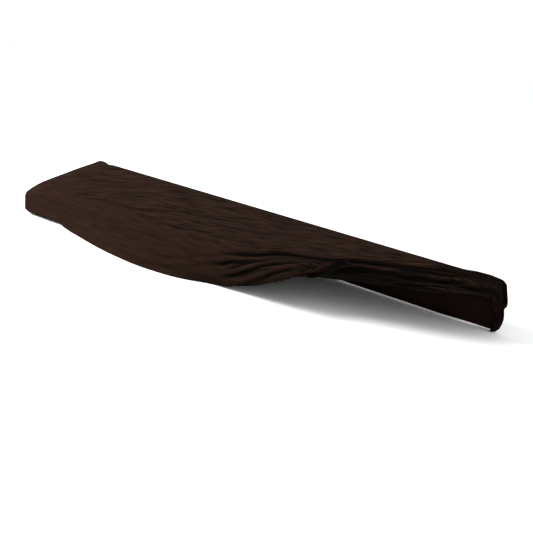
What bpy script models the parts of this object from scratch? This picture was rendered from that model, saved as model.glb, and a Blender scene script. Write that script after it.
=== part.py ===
"""Dust cover for a long, shallow case: one stretch-cloth sheet with its hem pulled back at one corner.

The sheet is drawn as it hangs over the case. Its hem is tucked under along the left end, the back
and the left of the front. Then it spreads on the table, climbs the front, and lies gathered in
long pleats across the top, down to the back right corner.

Sizes are in millimetres. x runs along the cover from its middle, y from its middle to the back,
and z up from the table. The finished part has its origin under the top, where the case carries it.
"""

import math
from collections import namedtuple

import bmesh
import bpy
from mathutils import Vector

MM = 0.001
THICK = 2.0
LENGTH = 1265.0
DEPTH = 288.0
ORIGIN_HEIGHT = 105.0

# Profile of the case that carries the sheet, as the sheet's outer face.
FRONT_TOP = 68.0
FRONT_RADIUS = 18.0
FRONT_TURN = math.radians(76.0)
BACK_RADIUS = 10.0
END_RADIUS = 7.0
Ridge = namedtuple("Ridge", "y z")
TOP_LINE = (
    Ridge(-130.4, 85.5),
    Ridge(-112.0, 91.8),
    Ridge(-86.0, 98.1),
    Ridge(-16.0, 106.8),
    Ridge(64.0, 116.9),
    Ridge(134.0, 125.3),
)

# The left end of the case is lower at its front than the middle is, and its bottom edge rises.
END_DROP = 18.5
END_DROP_LENGTH = 62.0
END_DROP_POWER = 1.5
CORNER_LIFT = 8.0
CORNER_LIFT_LENGTH = 24.0
CORNER_LIFT_HEIGHT = 30.0

# The tucked hem, from its tip to the foot of the wall: how far in under the case, how high, and
# how high where it hangs free instead.
Turn = namedtuple("Turn", "inset z hung")
TUCK = (Turn(20.0, 7.0, 2.3), Turn(13.0, 5.2, 5.2), Turn(7.0, 5.5, 8.1), Turn(2.3, 8.0, 11.0),
        Turn(0.0, 13.0, 14.0))
FRONT_WALL = (20.0, 27.0, 34.0, 41.0, 48.0, 55.0, 62.0, 68.0, 74.0, 80.0, 86.0, 92.0)
BACK_WALL = (90.0, 60.0, 30.0)
HEM_ON_TABLE = 2.3
# The length of the slope over the top, against its depth, and the step that reads the slope.
TOP_STRETCH = 1.011
TOP_END = FRONT_WALL[-1] + TOP_STRETCH * (TOP_LINE[-1].y - TOP_LINE[0].y)
SLOPE_STEP = 4.0

# The front from left to right: the share of the hem that is tucked under, where the hem and the
# far side of the gather lie, measured up the front and over the top, how far the hem spreads on
# the table, and how far it sinks below the taut top.
Front = namedtuple("Front", "x tuck hem out sink gather")
FRONT = (
    Front(-632.5, 1.0, 0.0, 0.0, 0.0, 93.0),
    Front(-545.0, 1.0, 0.0, 0.0, 0.0, 93.0),
    Front(-505.0, 0.55, 0.0, 1.5, 0.0, 93.0),
    Front(-465.0, 0.12, 0.0, 5.5, 0.0, 93.0),
    Front(-428.0, 0.0, 0.0, 12.0, 0.0, 93.0),
    Front(-385.0, 0.0, 0.0, 21.0, 0.0, 93.0),
    Front(-308.0, 0.0, 0.0, 38.0, 0.0, 93.0),
    Front(-241.0, 0.0, 0.0, 48.0, 0.0, 93.0),
    Front(-155.0, 0.0, 0.0, 54.0, 0.0, 93.0),
    Front(-82.0, 0.0, 0.0, 48.0, 0.0, 94.0),
    Front(-37.0, 0.0, 0.0, 39.0, 0.0, 95.0),
    Front(0.0, 0.0, 0.0, 24.5, 0.0, 96.0),
    Front(36.0, 0.0, 0.0, 8.0, 0.0, 98.0),
    Front(70.0, 0.0, 2.0, 1.0, 0.0, 104.0),
    Front(118.0, 0.0, 18.0, 0.0, 0.0, 126.0),
    Front(161.0, 0.0, 33.0, 0.0, 0.0, 155.0),
    Front(201.0, 0.0, 53.0, 0.0, 0.0, 178.0),
    Front(232.0, 0.0, 69.0, 0.0, 0.0, 191.0),
    Front(250.0, 0.0, 84.0, 0.0, 0.0, 198.0),
    Front(260.0, 0.0, 100.0, 0.0, 6.0, 202.0),
    Front(275.0, 0.0, 119.0, 0.0, 11.0, 208.0),
    Front(297.0, 0.0, 130.0, 0.0, 12.0, 220.0),
    Front(336.0, 0.0, 145.0, 0.0, 12.5, 245.0),
    Front(376.0, 0.0, 161.0, 0.0, 11.0, 270.0),
    Front(419.0, 0.0, 173.0, 0.0, 9.0, 300.0),
    Front(457.0, 0.0, 194.0, 0.0, 10.5, 322.0),
    Front(497.0, 0.0, 208.0, 0.0, 10.0, 333.0),
    Front(544.0, 0.0, 243.0, 0.0, 14.0, 336.0),
    Front(589.0, 0.0, 272.0, 0.0, 15.0, 333.0),
    Front(632.5, 0.0, 293.0, 0.0, 14.0, 326.0),
)
FLARE_HEIGHT = 70.0
FLARE_POWER = 2.2
SINK_POWER = 1.4

# Each fold fades in and out over a share of its length. Those that reach the right end keep a
# share of their height there, and all keep a share of it along the hem's tip.
FOLD_FADE = 0.28
END_FOLD_SHARE = 0.3
END_FOLD_FADE = 45.0
TIP_FOLD_SHARE = 0.5

# Long folds between the hem (share 0) and the far side of the gather (share 1).
Fold = namedtuple("Fold", "height width path")
PLEATS = (
    Fold(4.5, 0.09, ((-230.0, 0.20), (-115.0, 0.20), (-37.0, 0.36), (15.0, 0.55), (70.0, 0.69),
                     (138.0, 0.66), (215.0, 0.60))),
    Fold(4.5, 0.07, ((60.0, 0.36), (105.0, 0.42), (153.0, 0.44), (196.0, 0.57))),
    Fold(-5.0, 0.08, ((46.0, 0.20), (117.0, 0.28), (159.0, 0.36), (207.0, 0.47), (250.0, 0.53))),
    Fold(4.0, 0.07, ((90.0, 0.08), (146.0, 0.17), (204.0, 0.21))),
    Fold(4.5, 0.07, ((192.0, 0.32), (240.0, 0.44), (284.0, 0.42))),
    Fold(-4.5, 0.08, ((172.0, 0.12), (207.0, 0.20), (276.0, 0.25))),
    Fold(6.0, 0.09, ((232.0, 0.06), (268.0, 0.10), (282.0, 0.38), (296.0, 0.80), (306.0, 0.96),
                     (345.0, 0.72), (400.0, 0.60), (450.0, 0.52), (513.0, 0.53), (572.0, 0.66),
                     (640.0, 0.76))),
    Fold(-5.5, 0.08, ((290.0, 0.06), (332.0, 0.26), (387.0, 0.42), (460.0, 0.38), (560.0, 0.44),
                      (640.0, 0.52))),
    Fold(4.0, 0.07, ((440.0, 0.22), (520.0, 0.33), (574.0, 0.50), (640.0, 0.60))),
    Fold(3.5, 0.07, ((390.0, 0.12), (466.0, 0.18), (496.0, 0.20), (560.0, 0.10), (640.0, 0.08))),
    Fold(-5.0, 0.09, ((60.0, 0.82), (172.0, 0.91), (297.0, 0.92), (363.0, 0.85), (458.0, 0.86),
                      (532.0, 0.94), (600.0, 0.95))),
)
# Shallow folds that the pull of the gather draws slantwise over the top, as x and y.
CREASES = (
    Fold(-2.6, 22.0, ((-520.0, -52.0), (-452.0, -19.0), (-415.0, 4.0), (-320.0, 72.0))),
    Fold(-2.8, 20.0, ((-460.0, -92.0), (-361.0, -35.0), (-292.0, -2.0), (-180.0, 78.0))),
    Fold(-2.6, 19.0, ((-400.0, -106.0), (-287.0, -91.0), (-225.0, -64.0), (-110.0, -8.0))),
    Fold(2.4, 18.0, ((-300.0, -52.0), (-200.0, -4.0), (-71.0, 42.0), (100.0, 88.0))),
    Fold(-2.6, 18.0, ((-240.0, -40.0), (-132.0, -15.0), (-59.0, 5.0), (80.0, 50.0))),
    Fold(-2.6, 17.0, ((-200.0, -104.0), (-107.0, -101.0), (-45.0, -83.0), (40.0, -44.0))),
    Fold(2.4, 18.0, ((-130.0, -62.0), (-20.0, -48.0), (60.0, -30.0), (180.0, 8.0))),
    Fold(-2.6, 16.0, ((-80.0, -98.0), (11.0, -88.0), (71.0, -69.0), (150.0, -34.0))),
    Fold(-2.6, 18.0, ((-30.0, -44.0), (55.0, -12.0), (126.0, 22.0), (240.0, 62.0))),
    Fold(2.4, 18.0, ((50.0, 8.0), (150.0, 44.0), (240.0, 72.0), (340.0, 96.0))),
    Fold(-2.4, 16.0, ((190.0, 14.0), (260.0, 42.0), (340.0, 78.0), (450.0, 112.0))),
)
CREASE_FADE = 20.0
# Bunches that stand up along the top back edge: where, how high and how wide. They fade in over
# a rise between two heights.
Bunch = namedtuple("Bunch", "x rise width")
BUNCHES = (Bunch(-612.0, 3.2, 18.0), Bunch(-588.0, -3.0, 12.0), Bunch(566.0, 1.8, 14.0),
           Bunch(596.0, 5.5, 32.0))
BUNCH_DEPTH = 34.0
BUNCH_FROM = 60.0
BUNCH_FULL = 110.0

# The cloth that hangs from the back right corner: how far the back stands out past the end.
Hang = namedtuple("Hang", "z x")
HANGING = (Hang(0.0, 643.0), Hang(13.0, 650.5), Hang(34.0, 654.0), Hang(50.0, 652.0),
           Hang(60.0, 649.5), Hang(70.0, 654.0), Hang(84.0, 651.5), Hang(98.0, 647.0),
           Hang(120.0, 640.5))
HANG_START = 540.0
BACK_TUCK_END = 520.0
BACK_TUCK_GONE = 610.0
Hem = namedtuple("Hem", "share x y z")
RIGHT_HEM = (Hem(0.25, 631.0, 88.0, 77.0), Hem(0.48, 631.0, 118.0, 50.0),
             Hem(0.66, 631.0, 130.0, 28.0), Hem(0.80, 631.0, 129.0, 12.0),
             Hem(0.90, 634.0, 128.0, 2.5))
END_PLEATS = 2.5
END_PLEAT_HEIGHT = 3.6
END_PLEAT_ROUND = 150.0
END_PLEAT_LEAN = 1.2

# Where the sections lie along the cover: from, to and step.
Run = namedtuple("Run", "start end step")
RUNS = (Run(-625.5, -575.0, 12.6), Run(-575.0, -525.0, 50.0), Run(-525.0, -285.0, 24.0),
        Run(-285.0, -100.0, 31.0), Run(-100.0, 40.0, 18.0), Run(40.0, 230.0, 16.0),
        Run(230.0, 310.0, 8.0), Run(310.0, 540.0, 23.0), Run(540.0, 625.5, 15.0))
END_TURNS = (30.0, 60.0, 90.0)
TOP_ROWS = 12
BACK_TURNS = (30.0, 60.0, 90.0)

COLOUR = (0.022, 0.013, 0.011, 1.0)
ROUGHNESS = 0.85


def ease(value):
    """Return a soft step from 0 to 1."""
    value = min(max(value, 0.0), 1.0)
    return value * value * (3.0 - 2.0 * value)


def mix(low, high, share):
    """Return the value a share of the way from low to high."""
    return low + (high - low) * share


def along(table, key, name, place):
    """Read one column of a table at a place, on a smooth curve through its rows."""
    spots = [getattr(row, key) for row in table]
    values = [getattr(row, name) for row in table]
    return smooth(spots, values, place)


def smooth(spots, values, place):
    """Read a curve through values at rising spots, with no overshoot between them."""
    if place <= spots[0]:
        return values[0]
    if place >= spots[-1]:
        return values[-1]
    last = len(spots) - 1
    index = max(i for i in range(last) if spots[i] <= place)
    steps = [spots[i + 1] - spots[i] for i in range(last)]
    slopes = [(values[i + 1] - values[i]) / steps[i] for i in range(last)]

    def tangent(i):
        if i in (0, last):
            return 0.0 if i == 0 else slopes[-1]
        before, after = slopes[i - 1], slopes[i]
        if before * after <= 0.0:
            return 0.0
        return 2.0 * before * after / (before + after)

    width = steps[index]
    t = (place - spots[index]) / width
    start = (2 * t**3 - 3 * t**2 + 1) * values[index] + (t**3 - 2 * t**2 + t) * width * tangent(index)
    end = (3 * t**2 - 2 * t**3) * values[index + 1] + (t**3 - t**2) * width * tangent(index + 1)
    return start + end


def ridge_height(folds, x, place):
    """Return how far the folds of a table lift the sheet at x and at a place across them."""
    lift = 0.0
    for fold in folds:
        first, last = fold.path[0][0], fold.path[-1][0]
        if not first <= x <= last:
            continue
        middle = smooth([p[0] for p in fold.path], [p[1] for p in fold.path], x)
        across = (place - middle) / fold.width
        if abs(across) >= 2.0:
            continue
        fade = FOLD_FADE * (last - first)
        if last > LENGTH / 2:
            stop = mix(END_FOLD_SHARE, 1.0, ease((LENGTH / 2 - x) / END_FOLD_FADE))
        else:
            stop = ease((last - x) / fade)
        lift += fold.height * ease((x - first) / fade) * stop * math.cos(across * math.pi / 4.0) ** 2
    return lift


def case_point(reach):
    """Return y and z at a distance up the front and over the top, and the way out from there."""
    arc = FRONT_WALL[-1] - FRONT_TOP
    if reach <= FRONT_TOP:
        return -DEPTH / 2, reach, (-1.0, 0.0)
    if reach <= FRONT_TOP + arc:
        angle = FRONT_TURN * (reach - FRONT_TOP) / arc
        y = -DEPTH / 2 + FRONT_RADIUS * (1.0 - math.cos(angle))
        z = FRONT_TOP + FRONT_RADIUS * math.sin(angle)
        return y, z, (-math.cos(angle), math.sin(angle))
    first, last = TOP_LINE[0], TOP_LINE[-1]
    share = (reach - FRONT_WALL[-1]) / (TOP_END - FRONT_WALL[-1])
    y = mix(first.y, last.y, share)
    z = along(TOP_LINE, "y", "z", y)
    ahead = along(TOP_LINE, "y", "z", y + SLOPE_STEP)
    slope = (ahead - z) / SLOPE_STEP
    size = math.hypot(1.0, slope)
    return y, z, (-slope / size, 1.0 / size)


def settle(x, y, z):
    """Lower the sheet at the left end, lift its bottom corner, and raise the bunched back edge."""
    left = x + LENGTH / 2
    forward = min(max((DEPTH / 2 - y) / DEPTH, 0.0), 1.0)
    drop = END_DROP * forward**END_DROP_POWER * ease(1.0 - left / END_DROP_LENGTH)
    z -= drop * min(z / FRONT_TOP, 1.0)
    lift = CORNER_LIFT * ease(1.0 - left / CORNER_LIFT_LENGTH)
    z += lift * max(0.0, 1.0 - z / CORNER_LIFT_HEIGHT)
    near_edge = ease(1.0 - abs(y - DEPTH / 2) / BUNCH_DEPTH)
    near_edge *= ease((z - BUNCH_FROM) / (BUNCH_FULL - BUNCH_FROM))
    for bunch in BUNCHES:
        z += bunch.rise * near_edge * math.exp(-((x - bunch.x) / bunch.width) ** 2)
    return z


def front_column(x, inset):
    """Return the points of one section from the hem to the far side of the gather."""
    tuck, hem, out, sink, gather = (along(FRONT, "x", n, x) for n in Front._fields[1:])
    rows = len(TUCK) + len(FRONT_WALL) - 1
    points = []
    for row in range(rows + 1):
        share = row / rows
        reach = mix(hem, gather, share)
        y, z, way = case_point(reach)
        spread = out * max(0.0, 1.0 - reach / FLARE_HEIGHT) ** FLARE_POWER
        lift = ridge_height(PLEATS, x, share)
        lift *= 1.0 if row else TIP_FOLD_SHARE
        z += HEM_ON_TABLE * max(0.0, 1.0 - reach / FLARE_HEIGHT) - sink * (1.0 - share) ** SINK_POWER
        hung = (y - spread + way[0] * (lift - inset), z + way[1] * (lift - inset))
        if row < len(TUCK):
            turn = TUCK[row]
            tucked = (-DEPTH / 2 + inset, turn.z)
            scale = turn.inset * tuck
        else:
            y, z, way = case_point(FRONT_WALL[row - len(TUCK)])
            lift = ridge_height(PLEATS, x, share)
            tucked = (y + way[0] * (lift - inset), z + way[1] * (lift - inset))
            scale = 0.0
        y = mix(hung[0], tucked[0], tuck)
        z = mix(hung[1], tucked[1], tuck)
        points.append(Vector((*tuck_under(x, y, scale), settle(x, y, z))))
    return points


def tuck_under(x, y, inset):
    """Draw a point of the hem in towards the middle of the cover."""
    return x * (1.0 - inset / (LENGTH / 2)), y * (1.0 - inset / (DEPTH / 2))


def top_column(x, inset):
    """Return the points of one section from the far side of the gather to the top of the back."""
    gather = along(FRONT, "x", "gather", x)
    points = []
    for row in range(1, TOP_ROWS + 1):
        y, z, way = case_point(mix(gather, TOP_END, row / TOP_ROWS))
        lift = ridge_height(CREASES, x, y) * ease((DEPTH / 2 - BACK_RADIUS - y) / CREASE_FADE)
        y += way[0] * (lift - inset)
        z += way[1] * (lift - inset)
        points.append(Vector((x, y, settle(x, y, z))))
    radius = BACK_RADIUS - inset
    for turn in BACK_TURNS:
        angle = math.radians(turn)
        y = DEPTH / 2 - BACK_RADIUS + radius * math.sin(angle)
        z = TOP_LINE[-1].z - BACK_RADIUS + radius * math.cos(angle)
        points.append(Vector((x, y, settle(x, y, z))))
    return points


def back_column(x, inset):
    """Return the points of one section down the back to the tip of the hem."""
    tuck = 1.0 - ease((x - BACK_TUCK_END) / (BACK_TUCK_GONE - BACK_TUCK_END))
    y = DEPTH / 2 - inset
    points = [Vector((x, y, settle(x, y, z))) for z in BACK_WALL]
    for turn in reversed(TUCK):
        z = mix(turn.hung, turn.z, tuck)
        points.append(Vector((*tuck_under(x, y, turn.inset * tuck), settle(x, y, z))))
    return points


def section(x, inset):
    """Return one whole section, from the front hem over the top to the back hem."""
    points = front_column(x, inset) + top_column(x, inset) + back_column(x, inset)
    share = ease((x - HANG_START) / (LENGTH / 2 - HANG_START))
    start = len(points) - len(BACK_WALL) - len(TUCK) - len(BACK_TURNS)
    for index in range(start, len(points)):
        point = points[index]
        stand = along(HANGING, "z", "x", point.z) - LENGTH / 2
        row = min((index - start + 1) / len(BACK_TURNS), 1.0)
        point.x += stand * share * row
    return points


def stations():
    """Return x and the inset of every section, with the ends turned round a small radius."""
    turned = [(END_RADIUS * math.sin(math.radians(a)), END_RADIUS * (1.0 - math.cos(math.radians(a))))
              for a in END_TURNS]
    straight = [(RUNS[0].start, 0.0)]
    for run in RUNS:
        count = max(1, round((run.end - run.start) / run.step))
        straight += [(mix(run.start, run.end, i / count), 0.0) for i in range(1, count + 1)]
    left = [(RUNS[0].start - x, inset) for x, inset in reversed(turned)]
    right = [(RUNS[-1].end + x, inset) for x, inset in turned]
    return left + straight + right


def stitch(mesh, line_a, line_b):
    """Join two lines of vertices, which may differ in count, with quads and triangles."""
    a, b = 0, 0
    last_a, last_b = len(line_a) - 1, len(line_b) - 1
    while a < last_a or b < last_b:
        next_a = (a + 1) / last_a if a < last_a else 2.0
        next_b = (b + 1) / last_b if b < last_b else 2.0
        if abs(next_a - next_b) < 1e-6:
            corners = (line_a[a], line_a[a + 1], line_b[b + 1], line_b[b])
            a, b = a + 1, b + 1
        elif next_a < next_b:
            corners = (line_a[a], line_a[a + 1], line_b[b])
            a += 1
        else:
            corners = (line_a[a], line_b[b + 1], line_b[b])
            b += 1
        mesh.faces.new(corners)


def end_lines(mesh, edge, place):
    """Close one end: edge is its outer section, and place gives a point by share and row."""
    front_rows = len(TUCK) + len(FRONT_WALL)
    back_rows = len(BACK_WALL) + len(TUCK)
    columns = TOP_ROWS + len(BACK_TURNS)
    front = edge[:front_rows]
    top = edge[front_rows - 1:front_rows + columns]
    back = list(reversed(edge[front_rows - 1 + columns:]))
    line = front
    for column in range(1, columns):
        points = [place(column / columns, row / back_rows, row) for row in range(back_rows)]
        fresh = [mesh.verts.new(point) for point in points] + [top[column]]
        stitch(mesh, line, fresh)
        line = fresh
    stitch(mesh, line, back)


def left_end(mesh, edge):
    """Close the left end with a flat panel whose hem is tucked under."""
    front_rows = len(TUCK) + len(FRONT_WALL)
    columns = TOP_ROWS + len(BACK_TURNS)
    top = edge[front_rows - 1:front_rows + columns]
    foot_front, foot_back = edge[len(TUCK) - 1], edge[-len(TUCK)]
    rows = len(BACK_WALL) + len(TUCK)

    def place(share, _, row):
        column = round(share * columns)
        y = mix(foot_front.co.y, foot_back.co.y, share)
        if row < len(TUCK):
            turn = TUCK[row]
            x, y = tuck_under(-LENGTH / 2, y, turn.inset)
            return Vector((x, y, settle(-LENGTH / 2, y, turn.z)))
        foot = Vector((-LENGTH / 2, y, settle(-LENGTH / 2, y, TUCK[-1].z)))
        rise = (row - len(TUCK) + 1) / (rows - len(TUCK) + 1)
        return foot.lerp(top[column].co, rise)

    end_lines(mesh, edge, place)


def right_end(mesh, edge):
    """Close the right end with the cloth that hangs in folds from the back corner."""
    front_rows = len(TUCK) + len(FRONT_WALL)
    columns = TOP_ROWS + len(BACK_TURNS)
    front = [v.co for v in edge[:front_rows]]
    top = [v.co for v in edge[front_rows - 1:front_rows + columns]]
    back = [v.co for v in reversed(edge[front_rows - 1 + columns:])]
    spots = [0.0] + [row.share for row in RIGHT_HEM] + [1.0]
    hem = [front[0]] + [Vector(row[1:]) for row in RIGHT_HEM] + [back[0]]

    def on_line(line, share):
        place = share * (len(line) - 1)
        index = min(int(place), len(line) - 2)
        return line[index].lerp(line[index + 1], place - index)

    def on_hem(share):
        return Vector([smooth(spots, [p[axis] for p in hem], share) for axis in range(3)])

    def place(share, up, _):
        sides = on_line(front, up).lerp(on_line(back, up), share)
        ends = on_hem(share).lerp(on_line(top, share), up)
        low = front[0].lerp(back[0], share)
        high = front[-1].lerp(back[-1], share)
        point = sides + ends - low.lerp(high, up)
        pitch = (on_line(front, up) - on_line(back, up)).length / END_PLEATS
        height = min(END_PLEAT_HEIGHT, pitch**2 / END_PLEAT_ROUND) * math.sin(math.pi * up)
        wave = math.sin(2.0 * math.pi * END_PLEATS * share + END_PLEAT_LEAN * up)
        point.x += height * wave * math.sin(math.pi * share)
        return point

    end_lines(mesh, edge, place)


def make_sheet():
    """Return a mesh of the cover's outer face, open along the hem."""
    mesh = bmesh.new()
    lines = [[mesh.verts.new(point) for point in section(x, inset)] for x, inset in stations()]
    for line_a, line_b in zip(lines, lines[1:]):
        stitch(mesh, line_a, line_b)
    left_end(mesh, lines[0])
    right_end(mesh, lines[-1])
    for vertex in mesh.verts:
        vertex.co = (vertex.co - Vector((0.0, 0.0, ORIGIN_HEIGHT))) * MM
    bmesh.ops.recalc_face_normals(mesh, faces=mesh.faces)
    if sum(face.normal.z * face.calc_area() for face in mesh.faces) < 0.0:
        bmesh.ops.reverse_faces(mesh, faces=mesh.faces)
    return mesh


def knit():
    """Return the dark stretch cloth."""
    material = bpy.data.materials.new("knit")
    material.use_nodes = True
    shader = material.node_tree.nodes["Principled BSDF"]
    shader.inputs["Base Color"].default_value = COLOUR
    shader.inputs["Roughness"].default_value = ROUGHNESS
    shader.inputs["Metallic"].default_value = 0.0
    return material


def make_cover():
    """Build the cover as one closed sheet."""
    sheet = make_sheet()
    data = bpy.data.meshes.new("cover")
    sheet.to_mesh(data)
    sheet.free()
    data.shade_smooth()
    cover = bpy.data.objects.new("cover", data)
    bpy.context.scene.collection.objects.link(cover)
    cover.data.materials.append(knit())
    wall = cover.modifiers.new("cloth", "SOLIDIFY")
    wall.thickness = THICK * MM
    wall.offset = -1.0
    return cover


def main():
    """Clear the scene and build the cover."""
    for item in list(bpy.data.objects):
        bpy.data.objects.remove(item, do_unlink=True)
    make_cover()


main()
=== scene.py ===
"""Looks of a dust cover: one sheet of dark stretch knit, draped, with its hem pulled back at a corner.

The sheet is drawn finely over the same form as the solid it stands for. Its creases, gather and hem
are laid on that form in millimetres. x runs along the cover from its middle, y from its
middle to the back and z up from the table, until the mesh is made in metres round the part's origin.
"""

import logging
import math
from collections.abc import Callable
from dataclasses import dataclass
from enum import Enum

import bmesh
import bpy
import numpy as np
from mathutils import Matrix, Vector


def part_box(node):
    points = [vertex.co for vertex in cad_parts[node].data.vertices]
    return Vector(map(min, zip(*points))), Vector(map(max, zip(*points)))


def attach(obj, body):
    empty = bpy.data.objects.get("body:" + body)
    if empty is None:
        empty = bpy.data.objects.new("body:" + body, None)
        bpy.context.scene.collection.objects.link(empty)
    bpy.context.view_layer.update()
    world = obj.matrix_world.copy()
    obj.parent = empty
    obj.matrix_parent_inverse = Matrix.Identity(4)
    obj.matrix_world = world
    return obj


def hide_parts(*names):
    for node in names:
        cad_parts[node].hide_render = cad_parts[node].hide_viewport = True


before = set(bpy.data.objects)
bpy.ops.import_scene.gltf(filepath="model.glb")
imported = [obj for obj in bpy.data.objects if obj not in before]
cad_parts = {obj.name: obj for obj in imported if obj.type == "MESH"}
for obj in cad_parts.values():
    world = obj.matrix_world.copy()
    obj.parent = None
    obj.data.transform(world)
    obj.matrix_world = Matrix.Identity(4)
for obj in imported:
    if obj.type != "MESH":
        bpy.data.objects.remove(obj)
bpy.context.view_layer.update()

MM = 0.001
LINE_STEP = 3.0
FOLD_ROOM = 3.5
DIP_DEPTH = 0.45
DIP_PLACE = 1.7
DIP_WIDTH = 1.1
LOG = logging.getLogger("dust_cover")
Grid = np.ndarray
Path = tuple[tuple[float, float], ...]


def ease(value: Grid | float) -> Grid:
    """Step softly from 0 to 1.

    Args:
        value: How far along the step, 0 to 1; what lies outside is clipped.

    Returns:
        The eased share.
    """
    value = np.clip(value, 0.0, 1.0)
    return value * value * (3.0 - 2.0 * value)


def mix(low: Grid | float, high: Grid | float, share: Grid | float) -> Grid:
    """Return the value a share of the way from low to high."""
    return low + (high - low) * share


@dataclass(frozen=True)
class Curve:
    """A smooth line through values at rising spots, with no overshoot between them."""

    spots: tuple[float, ...]
    values: tuple[float, ...]
    start_flat: bool = True

    def __call__(self, place: Grid | float) -> Grid:
        """Read the line.

        Args:
            place: Where to read it.

        Returns:
            Its value there; beyond either end it holds its end value.
        """
        spots = np.asarray(self.spots, dtype=float)
        values = np.asarray(self.values, dtype=float)
        steps = np.diff(spots)
        slopes = np.diff(values) / steps
        product = slopes[:-1] * slopes[1:]
        total = slopes[:-1] + slopes[1:]
        inner = np.where(product > 0.0, 2.0 * product / np.where(total == 0.0, 1.0, total), 0.0)
        first = 0.0 if self.start_flat else slopes[0]
        tangents = np.concatenate(([first], inner, slopes[-1:]))
        x = np.clip(place, spots[0], spots[-1])
        index = np.clip(np.searchsorted(spots, x, side="right") - 1, 0, len(steps) - 1)
        width = steps[index]
        t = (x - spots[index]) / width
        start = (2 * t**3 - 3 * t**2 + 1) * values[index]
        start += (t**3 - 2 * t**2 + t) * width * tangents[index]
        end = (3 * t**2 - 2 * t**3) * values[index + 1] + (t**3 - t**2) * width * tangents[index + 1]
        return start + end


@dataclass(frozen=True)
class Ramp:
    """A soft step from 0 to 1, by where it starts and its length; a length below 0 runs backwards."""

    start: float
    length: float

    def __call__(self, place: Grid | float) -> Grid:
        """Return how far the step has come at a place."""
        return ease((place - self.start) / self.length)


@dataclass(frozen=True)
class Ripple:
    """Smooth unevenness from -1 to 1 over two directions, the same on every run."""

    seed: int
    cells: int = 96

    def __call__(self, u: Grid, v: Grid) -> Grid:
        """Read the unevenness.

        Args:
            u: Place along the first direction, in cells.
            v: Place along the second direction, in cells.

        Returns:
            Values from -1 to 1.
        """
        knots = np.random.RandomState(self.seed).uniform(-1.0, 1.0, (self.cells, self.cells))
        u0, v0 = np.floor(u).astype(int), np.floor(v).astype(int)
        fu, fv = ease(u - u0), ease(v - v0)
        a = knots[u0 % self.cells, v0 % self.cells]
        b = knots[(u0 + 1) % self.cells, v0 % self.cells]
        c = knots[u0 % self.cells, (v0 + 1) % self.cells]
        d = knots[(u0 + 1) % self.cells, (v0 + 1) % self.cells]
        return mix(mix(a, b, fu), mix(c, d, fu), fv)


class Shape(Enum):
    """How a fold is formed across its line."""

    SOFT = "soft"
    CREASE = "crease"


@dataclass(frozen=True)
class Fold:
    """One fold laid on the sheet: its height and width, and its line as x and a place across."""

    height: float
    width: float
    path: Path
    fade_in: float = 0.28
    fade_out: float = 0.28
    shape: Shape = Shape.SOFT

    def lift(self, x: Grid, reach: Grid, to_reach: Callable[[Grid, Grid], Grid]) -> Grid:
        """Work out how far this fold lifts the sheet.

        Args:
            x: Place along the cover of each point.
            reach: How far over the sheet each point lies.
            to_reach: Turns x and the line's second number into a reach.

        Returns:
            The lift of each point, in mm.
        """
        line_x, line_reach, length = self.line(to_reach)
        room = self.width * FOLD_ROOM
        near = (x > line_x.min() - room) & (x < line_x.max() + room)
        near &= (reach > line_reach.min() - room) & (reach < line_reach.max() + room)
        px, pr = x[near], reach[near]
        away = (px[:, None] - line_x[None, :]) ** 2 + (pr[:, None] - line_reach[None, :]) ** 2
        index = np.argmin(away, axis=1)
        way_x, way_r = np.gradient(line_x), np.gradient(line_reach)
        size = np.hypot(way_x, way_r)
        way_x, way_r = (way_x / size)[index], (way_r / size)[index]
        dx, dr = px - line_x[index], pr - line_reach[index]
        across = (way_x * dr - way_r * dx) / self.width
        along = (length[index] + way_x * dx + way_r * dr) / length[-1]
        beyond = np.hypot(dx, dr) < room
        fade = ease(along / self.fade_in) * ease((1.0 - along) / self.fade_out) * beyond
        lift = np.zeros_like(x)
        lift[near] = self.height * fade * self.profile(across)
        return lift

    def line(self, to_reach: Callable[[Grid, Grid], Grid]) -> tuple[Grid, Grid, Grid]:
        """Draw the fold's line.

        Args:
            to_reach: Turns x and the line's second number into a reach.

        Returns:
            x and reach along the line, close together, and the length up to each.
        """
        x = np.array([p[0] for p in self.path])
        reach = to_reach(x, np.array([p[1] for p in self.path]))
        knots = np.concatenate(([0.0], np.cumsum(np.hypot(np.diff(x), np.diff(reach)))))
        spots = np.linspace(0.0, knots[-1], max(12, int(knots[-1] / LINE_STEP)))
        line_x = Curve(tuple(knots), tuple(x), start_flat=False)(spots)
        line_reach = Curve(tuple(knots), tuple(reach), start_flat=False)(spots)
        return line_x, line_reach, spots

    def profile(self, across: Grid) -> Grid:
        """Return the fold's height over its line, 1 at most, by the distance in widths."""
        if self.shape is Shape.SOFT:
            return np.cos(np.clip(across, -2.0, 2.0) * math.pi / 4.0) ** 2 * (np.abs(across) < 2.0)
        return np.exp(-across**2) - DIP_DEPTH * np.exp(-((across + DIP_PLACE) / DIP_WIDTH) ** 2)


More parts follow.
